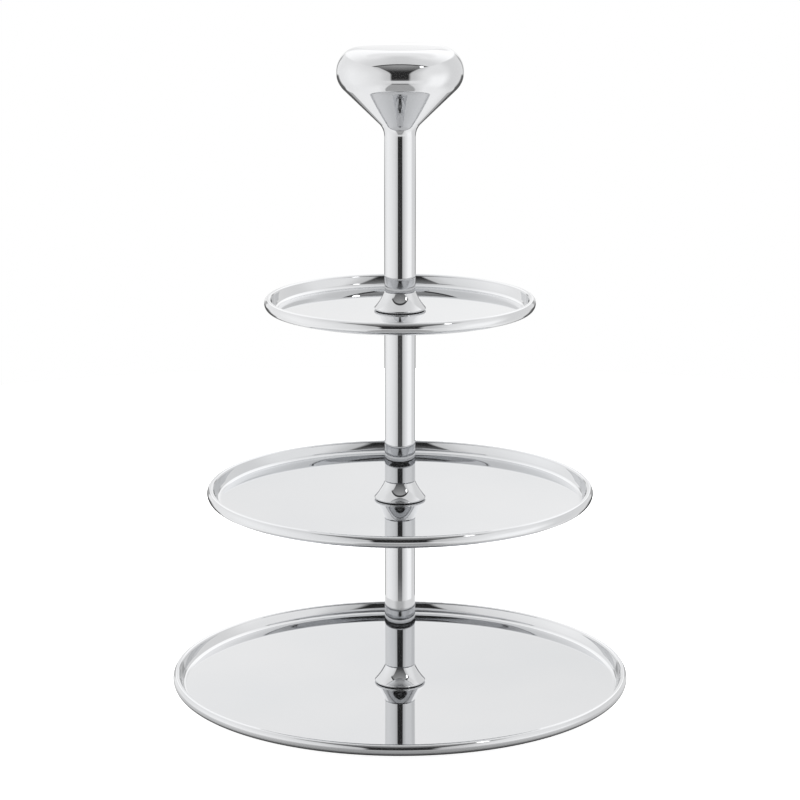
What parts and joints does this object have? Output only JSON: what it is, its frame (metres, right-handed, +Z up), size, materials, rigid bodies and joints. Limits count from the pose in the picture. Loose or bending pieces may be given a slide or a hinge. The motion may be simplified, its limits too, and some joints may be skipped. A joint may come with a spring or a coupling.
{
  "type": "tiered cake stand",
  "caption": "Round serving trays with raised rims stacked on a central stem of screwed polished steel tubes with bell collars, topped by a mushroom-shaped lifting knob.",
  "frame": {"origin": "centre of the stand's footprint, on the surface the foot pads rest on", "axes": "+Z up along the common axis of the stem and trays"},
  "size_m": [0.27, 0.27, 0.382],
  "materials": {
    "polished_steel": "mirror-polished stainless steel",
    "plain_steel": "turned, satin",
    "white_nylon": "smooth, matte",
    "clear_silicone": "translucent, soft"
  },
  "bodies": {
    "base": {"bottom_tray": "polished_steel", "foot_pads": "clear_silicone", "base_screw": "plain_steel", "base_washer": "plain_steel"},
    "lower_seal": {"lower_collar_seal": "clear_silicone"},
    "lower_stem": {"lower_stem_collar": "polished_steel", "lower_stem_tube": "polished_steel", "lower_foot_insert": "plain_steel", "lower_top_insert": "plain_steel", "lower_joint_stud": "plain_steel", "middle_tray_washer": "white_nylon"},
    "middle_tray": {"middle_tray": "polished_steel"},
    "middle_seal": {"middle_collar_seal": "clear_silicone"},
    "middle_stem": {"middle_stem_collar": "polished_steel", "middle_stem_tube": "polished_steel", "middle_foot_insert": "plain_steel", "middle_top_insert": "plain_steel", "upper_joint_stud": "plain_steel", "top_tray_washer": "white_nylon"},
    "top_tray": {"top_tray": "polished_steel"},
    "upper_seal": {"upper_collar_seal": "clear_silicone"},
    "handle": {"upper_stem_collar": "polished_steel", "upper_stem_tube": "polished_steel", "upper_foot_insert": "plain_steel", "knob_cone": "polished_steel", "knob_cap": "polished_steel"}
  },
  "joints": [
    {"name": "lower_stem_rise", "type": "slide", "parent": "base", "child": "lower_seal", "axis": [0, 0, 1], "range_m": [0, 0.01]},
    {"name": "lower_stem_turn", "type": "hinge", "parent": "lower_seal", "child": "lower_stem", "pos_m": [0, 0, 0.0037], "axis": [0, 0, 1], "range_deg": [0, 3600]},
    {"name": "middle_tray_turn", "type": "hinge", "parent": "lower_stem", "child": "middle_tray", "pos_m": [0, 0, 0.1154], "axis": [0, 0, 1], "continuous": true},
    {"name": "middle_stem_rise", "type": "slide", "parent": "lower_stem", "child": "middle_seal", "axis": [0, 0, 1], "range_m": [0, 0.01]},
    {"name": "middle_stem_turn", "type": "hinge", "parent": "middle_seal", "child": "middle_stem", "pos_m": [0, 0, 0.1166], "axis": [0, 0, 1], "range_deg": [0, 3600]},
    {"name": "top_tray_turn", "type": "hinge", "parent": "middle_stem", "child": "top_tray", "pos_m": [0, 0, 0.2283], "axis": [0, 0, 1], "continuous": true},
    {"name": "handle_rise", "type": "slide", "parent": "middle_stem", "child": "upper_seal", "axis": [0, 0, 1], "range_m": [0, 0.01]},
    {"name": "handle_turn", "type": "hinge", "parent": "upper_seal", "child": "handle", "pos_m": [0, 0, 0.2295], "axis": [0, 0, 1], "range_deg": [0, 3600]}
  ],
  "couplings": [
    {"joint": "lower_stem_turn", "follows": "lower_stem_rise", "rad_per_m": 6283.2},
    {"joint": "middle_stem_turn", "follows": "middle_stem_rise", "rad_per_m": 6283.2},
    {"joint": "handle_turn", "follows": "handle_rise", "rad_per_m": 6283.2}
  ]
}
